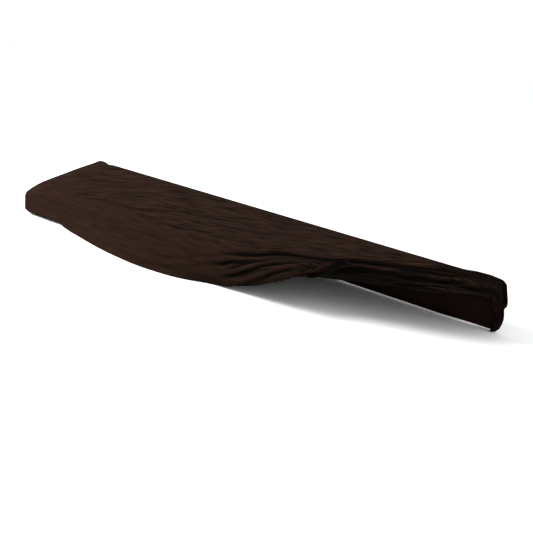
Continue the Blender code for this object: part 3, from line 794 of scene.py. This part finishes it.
@dataclass
class Cover:
    """The whole cover: one sheet, closed at both ends and open along its hem."""

    drape: Drape = Drape()
    wrinkles: Wrinkles = Wrinkles()
    finish: StretchKnit = StretchKnit()
    thickness: float = 1.1
    runs: tuple[tuple[float, float], ...] = ((40.0, 8.0), (250.0, 5.0), (312.0, 1.8), (420.0, 4.0),
                                             (625.5, 6.2))
    front_rows: int = 58
    top_rows: int = 88
    turn_rows: int = 5
    wall_rows: int = 16
    tuck_rows: int = 7
    end_turns: int = 5
    # Painted shade: how dark the knit is painted where shade falls, in the gather, in the pocket under the
    # pulled-back lip, along the lower front, near the back edge at the right, at the right end and along the
    # groove.
    painted_shade_gather: Curve = Curve((0, 100, 200, 300, 460, 550, 632), (0, 0.46, 0.52, 0.36, 0.52, 0.7, 0.78))
    painted_shade_pocket: Curve = Curve((250, 300, 450, 540, 632), (0.85, 1.2, 1.2, 0.78, 0.76))
    painted_shade_low: float = 0.58
    painted_shade_edge: Curve = Curve((400, 455, 520, 632), (0, 0.15, 0.84, 0.92))
    painted_shade_end: float = 0.80
    groove: Curve = Curve((128, 172, 213, 256, 297, 321, 363, 417, 458, 498, 532), (0.83, 0.87, 0.87, 0.84,
        0.86, 0.88, 0.84, 0.85, 0.84, 0.9, 0.94))
    groove_width: float = 18.0
    painted_shade_groove: Curve = Curve((100, 150, 200, 330, 400, 460, 632), (0, 0.75, 1, 1, 0.6, 0.35, 0.3))
    # Less shade is painted along this ridge, where light falls on it.
    ridge: Curve = Curve((304, 322, 345, 372, 400, 460), (0.99, 0.86, 0.73, 0.65, 0.61, 0.6))
    ridge_width: float = 5.0
    painted_ridge_light: float = 0.62
    # Painted shade in the hollows between folds, and its strength on the top and in the gather.
    shade_rows: int = 7
    shade_top: float = 0.42
    shade_gather: float = 0.17
    gather_far: Ramp = Ramp(1.05, -0.2)
    pocket_in: Ramp = Ramp(2.0, 12.0)
    pocket_far: Ramp = Ramp(0.98, -0.18)
    low_far: Ramp = Ramp(0.26, -0.2)
    low_in: Ramp = Ramp(-90.0, 130.0)
    edge_before: float = 48.0
    edge_length: float = 26.0
    edge_behind: Ramp = Ramp(10.0, 70.0)
    edge_fade: float = 0.7
    ridge_in: Ramp = Ramp(298.0, 14.0)
    ridge_out: Ramp = Ramp(450.0, -60.0)
    groove_flat: float = 0.85
    streak_over: Ramp = Ramp(-20.0, 50.0)
    streak_low: float = 0.39
    streak_lip: float = 11.0
    streak_far: Ramp = Ramp(1.02, -0.1)
    crease_in: float = 24.0
    crease_low: float = 0.4
    fine_low: float = 0.6
    crease_past: float = 4.0
    crease_out: float = 24.0
    lift_past: float = 2.0
    left_fade: float = 40.0
    right_fade: float = 45.0
    right_low: float = 0.35
    flat_width: float = 0.58
    flat_length: float = 1.56
    flat_area: float = 0.80

    def sections(self) -> tuple[Grid, Grid]:
        """Place the sections along the cover.

        Returns:
            x and the inset of each section, as columns.
        """
        edge = self.drape.length / 2 - self.drape.end_radius
        start, spots = -edge, [np.array([-edge])]
        for end, step in self.runs:
            spots.append(np.linspace(start, end, round((end - start) / step) + 1)[1:])
            start = end
        straight = np.concatenate(spots)
        angle = np.linspace(0.0, math.pi / 2, self.end_turns + 1)[1:]
        turned = self.drape.end_radius * np.sin(angle)
        inset = self.drape.end_radius * (1.0 - np.cos(angle))
        x = np.concatenate(((-edge - turned)[::-1], straight, edge + turned))
        insets = np.concatenate((inset[::-1], np.zeros_like(straight), inset))
        return x[:, None], insets[:, None]

    def points(self) -> tuple[Grid, Grid]:
        """Lay every section of the sheet and put its creases on.

        Returns:
            The points, section by section, in mm, and the x, reach, pull, painted shade and share of fine
            creases of each; that share also sets the streaks of painted shade.
        """
        drape = self.drape
        x, inset = self.sections()
        front = np.linspace(0.0, 1.0, self.front_rows + 1)[None, :]
        top = np.linspace(0.0, 1.0, self.top_rows + 1)[None, 1:]
        turns = np.linspace(0.0, math.pi / 2, self.turn_rows + 1)[None, 1:]
        drops = np.linspace(drape.top.values[-1] - drape.back_radius, drape.back_tuck_height.values[0],
                            self.wall_rows + 2)[None, 1:-1]
        tucks = np.linspace(0.0, 1.0, self.tuck_rows)[None, :]
        parts = (drape.front(x, front, inset), drape.over_top(x, top, inset),
                 drape.down_back(x, turns, drops, tucks, inset))
        grids = [np.concatenate([part[i] for part in parts], axis=1) for i in range(4)]
        base, reach = np.stack(grids[:3], axis=2), grids[3]
        along = x + 0.0 * reach
        behind = ease((reach - drape.top_end) / drape.edge_reach)
        pull = mix(self.wrinkles.flow(drape, along, reach), reach, behind)
        lift = self.creased(along, reach, pull)
        point = base + self.outward(base) * lift[:, :, None]
        painted_shade = self.painted_shade_amount(along, reach, lift)
        share = drape.to_share(x, reach)
        # How strongly the painted streak shade and its bump show: full over the top, fainter on the front
        # and back, none at the lip.
        at_lip = np.exp(-((along - LIP(share)) / self.streak_lip) ** 2) * self.streak_far(share)
        over = self.streak_over(reach - drape.wall_end) * (1.0 - behind)
        streaks = mix(self.streak_low, 1.0, over) * (1.0 - at_lip)
        return point, np.stack((along, reach, pull, painted_shade, streaks), axis=2)

    def creased(self, x: Grid, reach: Grid, pull: Grid) -> Grid:
        """Add up every crease, pleat and wrinkle.

        Args:
            x: Place along the cover of each point.
            reach: How far over the sheet each point lies.
            pull: Which line of the pull each point lies on.

        Returns:
            How far each point lifts off the plain form, in mm.
        """
        drape, fine = self.drape, self.wrinkles
        lift = np.zeros_like(x)
        for fold in PLEATS:
            lift += fold.lift(x, reach, drape.from_share)
        top = np.zeros_like(x)
        for fold in CREASES:
            top += fold.lift(x, reach, drape.from_depth)
        over = ease((reach - drape.gather(x)) / self.crease_in)
        top += fine.on_top(x, pull) * mix(self.fine_low, 1.0, over)
        top *= mix(self.crease_low, 1.0, over)
        top *= ease((drape.top_end + self.crease_past - reach) / self.crease_out)
        lift += top + fine.in_gather(drape, x, reach)
        half = drape.length / 2
        right = mix(self.right_low, 1.0, ease((half - x) / self.right_fade))
        before = np.where(reach > drape.top_end + self.lift_past, 0.0, 1.0)
        lift *= ease((x + half) / self.left_fade) * right * before
        low = np.where(drape.to_share(x, reach) < 1.0, 1.0, 0.0)
        lift += fine.at_hem(drape, x, reach) * (1.0 - drape.tuck(x)) * low
        return lift

    @staticmethod
    def outward(base: Grid) -> Grid:
        """Return the way out of the sheet at each point of a grid of points."""
        along = np.gradient(base, axis=0)
        over = np.gradient(base, axis=1)
        way = np.cross(along, over)
        return way / np.maximum(np.linalg.norm(way, axis=2, keepdims=True), 1e-9)

    def build(self) -> bpy.types.Object:
        """Make the sheet as a mesh with its thickness.

        Returns:
            The cover.
        """
        point, cloth = self.points()
        mesh = bmesh.new()
        uv = mesh.loops.layers.uv.new("cloth")
        pull = mesh.verts.layers.float.new("pull")
        painted_shade = mesh.verts.layers.float.new("painted_shade")
        creased = mesh.verts.layers.float.new("creased")
        lines = [[mesh.verts.new(p) for p in section] for section in point.tolist()]
        places = {}
        for section, spots in zip(lines, cloth.tolist()):
            places.update(zip(section, spots))
        for line, after in zip(lines, lines[1:]):
            self.stitch(mesh, line, after)
        Ends(self, mesh, places).close(lines[0], lines[-1])
        for face in mesh.faces:
            for loop in face.loops:
                loop[uv].uv = [value * MM for value in places[loop.vert][:2]]
        for vertex in mesh.verts:
            vertex[pull] = places[vertex][2] * MM
            vertex[painted_shade] = places[vertex][3]
            vertex[creased] = places[vertex][4]
            vertex.co = (vertex.co - Vector((0.0, 0.0, self.drape.origin_height))) * MM
        bmesh.ops.recalc_face_normals(mesh, faces=mesh.faces)
        if sum(face.normal.z * face.calc_area() for face in mesh.faces) < 0.0:
            bmesh.ops.reverse_faces(mesh, faces=mesh.faces)
        data = bpy.data.meshes.new("draped_cover")
        mesh.to_mesh(data)
        mesh.free()
        data.shade_smooth()
        cover = bpy.data.objects.new("draped_cover", data)
        bpy.context.scene.collection.objects.link(cover)
        cover.data.materials.append(self.finish.make())
        self.thicken(cover)
        return cover

    def painted_shade_amount(self, x: Grid, reach: Grid, lift: Grid) -> Grid:
        """Work out the painted shade of the knit, darkest where shade falls in the gather and between folds.

        Args:
            x: Place along the cover of each point.
            reach: How far over the sheet each point lies.
            lift: How far each point lifts off the plain form.

        Returns:
            0 where no shade is painted, to 1 where the knit is painted darkest, deep in the gather and
            between folds.
        """
        drape = self.drape
        span, share = drape.span(x), drape.to_share(x, reach)
        # Painted shade, the darkest of the gather, the pocket under the pulled-back lip, the lower front,
        # the back edge at the right and the groove.
        gathered = self.gather_far(share) * self.painted_shade_gather(x)
        pocket = self.pocket_in(x - LIP(share)) * self.pocket_far(share) * self.painted_shade_pocket(x)
        low = self.painted_shade_low * self.low_far(share) * self.low_in(x)
        edge = self.painted_shade_edge(x) * ease((self.edge_before - drape.top_end + reach) / self.edge_length)
        edge *= 1.0 - self.edge_fade * self.edge_behind(reach - drape.top_end)
        away = (share - self.groove(x)) * span / self.groove_width
        groove = self.painted_shade_groove(x) * np.exp(-away**4)
        base_shade = np.maximum.reduce((gathered, pocket, low, edge, groove))
        # Less shade is painted along a lit ridge.
        away = (share - self.ridge(x)) * span / self.ridge_width
        base_shade *= 1.0 - self.painted_ridge_light * np.exp(-away**2) * self.ridge_in(x) * self.ridge_out(x)
        # More shade is painted in the hollows between folds and less on their crests, though crests in the
        # groove stay dark.
        wider = np.pad(lift, ((0, 0), (self.shade_rows + 1, self.shade_rows)), mode="edge")
        total = np.cumsum(wider, axis=1)
        window = 2 * self.shade_rows + 1
        hollow = (total[:, window:] - total[:, :-window]) / window - lift
        damped = hollow * (1.0 - self.groove_flat * np.minimum(groove, 1.0))
        hollow = np.where(hollow < 0.0, damped, hollow)
        return np.clip(base_shade + mix(self.shade_top, self.shade_gather, base_shade) * hollow, 0.0, 1.0)

    def thicken(self, cover: bpy.types.Object) -> None:
        """Give the sheet its thickness, inwards."""
        bpy.ops.object.select_all(action="DESELECT")
        bpy.context.view_layer.objects.active = cover
        cover.select_set(True)
        wall = cover.modifiers.new("cloth", "SOLIDIFY")
        wall.thickness = self.thickness * MM
        wall.offset = -1.0
        bpy.ops.object.modifier_apply(modifier=wall.name)

    @staticmethod
    def stitch(mesh: bmesh.types.BMesh, line_a: list, line_b: list) -> None:
        """Join two lines of vertices, which may differ in count.

        Args:
            mesh: The mesh that they are in.
            line_a: The first line.
            line_b: The second line.
        """
        a, b = 0, 0
        last_a, last_b = len(line_a) - 1, len(line_b) - 1
        while a < last_a or b < last_b:
            next_a = (a + 1) / last_a if a < last_a else 2.0
            next_b = (b + 1) / last_b if b < last_b else 2.0
            if abs(next_a - next_b) < 1e-6:
                mesh.faces.new((line_a[a], line_a[a + 1], line_b[b + 1], line_b[b]))
                a, b = a + 1, b + 1
            elif next_a < next_b:
                mesh.faces.new((line_a[a], line_a[a + 1], line_b[b]))
                a += 1
            else:
                mesh.faces.new((line_a[a], line_b[b + 1], line_b[b]))
                b += 1

    def declare(self, cover: bpy.types.Object) -> None:
        """Attach the piece to the root body and hide the solid's cover, whose place it takes."""
        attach(cover, "root")
        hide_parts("cover")


@dataclass
class Ends:
    """The two ends of the cover: a flat panel at the left and hanging folds at the right."""

    cover: Cover
    mesh: bmesh.types.BMesh
    places: dict
    hem_shares: tuple[float, ...] = (0.0, 0.25, 0.48, 0.66, 0.80, 0.90, 1.0)
    hem_points: tuple[tuple[float, ...], ...] = (
        (631, 88, 77), (633, 121, 50), (633, 132, 28), (632, 130, 12),
        (634, 128, 2.5))
    pleats: float = 2.5
    pleat_height: float = 3.6
    pleat_round: float = 150.0
    pleat_lean: float = 1.2
    crumple: Ripple = Ripple(41)
    crush_height: float = 3.0
    crush_across: float = 7.0
    crush_up: float = 8.0
    # How much darker the crumples' hollows are painted, as painted shade.
    crush_painted_shade: float = 0.35
    foot_height: float = 12.0

    def close(self, left: list, right: list) -> None:
        """Close both ends.

        Args:
            left: The left end section's vertices.
            right: The right end section's vertices.
        """
        self.panel(left, self.left_place(left))
        self.panel(right, self.right_place(right))

    def split(self, edge: list) -> tuple[list, list, list]:
        """Return the front, top and back of an end section, the back from its hem upwards."""
        front_rows = self.cover.front_rows + 1
        columns = self.cover.top_rows + self.cover.turn_rows
        return (edge[:front_rows], edge[front_rows - 1:front_rows + columns],
                list(reversed(edge[front_rows - 1 + columns:])))

    def panel(self, edge: list, place: Callable[[float, float, int], Vector]) -> None:
        """Fill an end.

        Args:
            edge: The end section's vertices.
            place: Gives a point by the share from front to back and the share upwards.
        """
        front, top, back = self.split(edge)
        columns, rows = len(top) - 1, len(back) - 1
        line = front
        for column in range(1, columns):
            share = column / columns
            fresh = []
            for row in range(rows):
                vertex = self.mesh.verts.new(place(share, row / rows, row))
                # The hanging right end is painted darker, more in the hollows of its crumples, as painted
                # shade; the left panel gets none.
                crush = float(self.crumple(share * self.crush_across, row / rows * self.crush_up))
                painted_shade = self.cover.painted_shade_end - self.crush_painted_shade * crush if vertex.co.x > 0.0 else 0.0
                self.places[vertex] = (vertex.co.y + vertex.co.x, vertex.co.z, vertex.co.z, painted_shade, 0.0)
                fresh.append(vertex)
            fresh.append(top[column])
            self.cover.stitch(self.mesh, line, fresh)
            line = fresh
        self.cover.stitch(self.mesh, line, back)

    def left_place(self, edge: list) -> Callable[[float, float, int], Vector]:
        """Return the flat left panel, whose hem is tucked under."""
        drape = self.cover.drape
        front, top, back = self.split(edge)
        tucks = self.cover.tuck_rows
        rows = len(back) - 1
        half = drape.length / 2
        foot_front = next(v for v in front if v.co.z >= self.foot_height)

        def place(share: float, _: float, row: int) -> Vector:
            """Return a point of the panel."""
            y = mix(foot_front.co.y, drape.depth / 2 - drape.end_radius, share)
            if row < tucks:
                turn = row / (tucks - 1) * drape.tuck_share
                pull = float(drape.tuck_inset(turn))
                x, y = -half * (1.0 - pull / half), y * (1.0 - pull / (drape.depth / 2))
                return Vector((x, y, float(drape.settle(-half, y, drape.tuck_height(turn)))))
            foot = Vector((-half, y, float(drape.settle(-half, y, drape.tuck_height(drape.tuck_share)))))
            rise = (row - tucks + 1) / (rows - tucks + 1)
            return foot.lerp(top[round(share * (len(top) - 1))].co, rise)

        return place

    def right_place(self, edge: list) -> Callable[[float, float, int], Vector]:
        """Return the cloth that hangs in folds from the back corner, between its four sides."""
        front, top, back = ([v.co.copy() for v in side] for side in self.split(edge))
        ends = (tuple(front[0]), *self.hem_points, tuple(back[0]))
        hem = [Curve(self.hem_shares, tuple(p[axis] for p in ends)) for axis in range(3)]

        def on_line(line: list, share: float) -> Vector:
            """Return the point a share of the way along a line."""
            spot = share * (len(line) - 1)
            index = min(int(spot), len(line) - 2)
            return line[index].lerp(line[index + 1], spot - index)

        def place(share: float, up: float, _: int) -> Vector:
            """Return a point of the hanging cloth."""
            sides = on_line(front, up).lerp(on_line(back, up), share)
            low_high = Vector([float(curve(share)) for curve in hem]).lerp(on_line(top, share), up)
            low, high = front[0].lerp(back[0], share), front[-1].lerp(back[-1], share)
            point = sides + low_high - low.lerp(high, up)
            pitch = (on_line(front, up) - on_line(back, up)).length / self.pleats
            height = min(self.pleat_height, pitch**2 / self.pleat_round) * math.sin(math.pi * up)
            wave = math.sin(2.0 * math.pi * self.pleats * share + self.pleat_lean * up)
            crush = self.crush_height * float(self.crumple(share * self.crush_across, up * self.crush_up))
            point.x += (height * wave + crush * math.sin(math.pi * up)) * math.sin(math.pi * share)
            return point

        return place


@dataclass(frozen=True)
class Studio:
    """A pale floor, soft light from above and the camera."""

    camera_place: tuple[float, float, float] = (0.8758878, -1.3456904, 0.4827284)
    yaw: float = 0.5231
    pitch: float = 0.346
    roll: float = -0.1384
    focal_pixels: float = 662.3117
    picture: float = 533.0
    sensor: float = 36.0
    floor_size: float = 60.0
    floor_colour: tuple[float, ...] = (0.92, 0.92, 0.92, 1.0)
    sky: tuple[float, ...] = (1.0, 1.0, 1.0, 1.0)
    sky_strength: float = 1.08
    key_place: tuple[float, float, float] = (-1.7, -1.05, 1.25)
    key_size: float = 0.9
    key_power: float = 90.0

    def floor(self) -> None:
        """Lay a pale floor at the cover's lowest level."""
        bpy.ops.object.select_all(action="DESELECT")
        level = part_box("cover")[0][2]
        bpy.ops.mesh.primitive_plane_add(size=self.floor_size, location=(0.0, 0.0, level))
        plane = bpy.context.active_object
        plane.name = "floor"
        nodes = Nodes("pale_floor")
        plane.data.materials.append(nodes.dress({"Base Color": self.floor_colour, "Roughness": 0.9}))

    def camera(self) -> None:
        """Stand the camera where the photograph was taken from."""
        ahead = Vector((-math.sin(self.yaw) * math.cos(self.pitch),
                        math.cos(self.yaw) * math.cos(self.pitch), -math.sin(self.pitch)))
        right = Vector((math.cos(self.yaw), math.sin(self.yaw), 0.0))
        down = ahead.cross(right)
        across = math.cos(self.roll) * right + math.sin(self.roll) * down
        below = math.cos(self.roll) * down - math.sin(self.roll) * right
        data = bpy.data.cameras.new("camera")
        data.sensor_width = self.sensor
        data.lens = self.focal_pixels * self.sensor / self.picture
        camera = bpy.data.objects.new("camera", data)
        turn = Matrix((across, -below, -ahead)).transposed().to_4x4()
        camera.matrix_world = Matrix.Translation(self.camera_place) @ turn
        bpy.context.scene.collection.objects.link(camera)
        bpy.context.scene.camera = camera

    def light(self, name: str, place: Vector, target: Vector, size: float, power: float) -> None:
        """Hang one soft box.

        Args:
            name: What to call it.
            place: Where it hangs.
            target: What it points at.
            size: Its side, in metres.
            power: Its power, in watts.
        """
        data = bpy.data.lights.new(name, "AREA")
        data.size = size
        data.energy = power
        lamp = bpy.data.objects.new(name, data)
        lamp.location = place
        lamp.rotation_euler = (target - place).to_track_quat("-Z", "Y").to_euler()
        bpy.context.scene.collection.objects.link(lamp)

    def build(self) -> None:
        """Set up the floor, the camera, the sky and the lights."""
        self.floor()
        self.camera()
        world = bpy.data.worlds.new("studio")
        world.use_nodes = True
        ground = world.node_tree.nodes["Background"]
        ground.inputs["Color"].default_value = self.sky
        ground.inputs["Strength"].default_value = self.sky_strength
        bpy.context.scene.world = world
        self.light("key", Vector(self.key_place), Vector((0.0, 0.0, 0.0)), self.key_size, self.key_power)
        bpy.context.scene.view_settings.view_transform = "Standard"


def main() -> None:
    """Build the cover and the studio."""
    logging.basicConfig(level=logging.INFO, format="%(message)s")
    cover = Cover()
    piece = cover.build()
    cover.declare(piece)
    LOG.info("%s: %d faces", piece.name, len(piece.data.polygons))
    Studio().build()
    LOG.info("studio: floor, camera and lights")


if __name__ == "__main__":
    main()
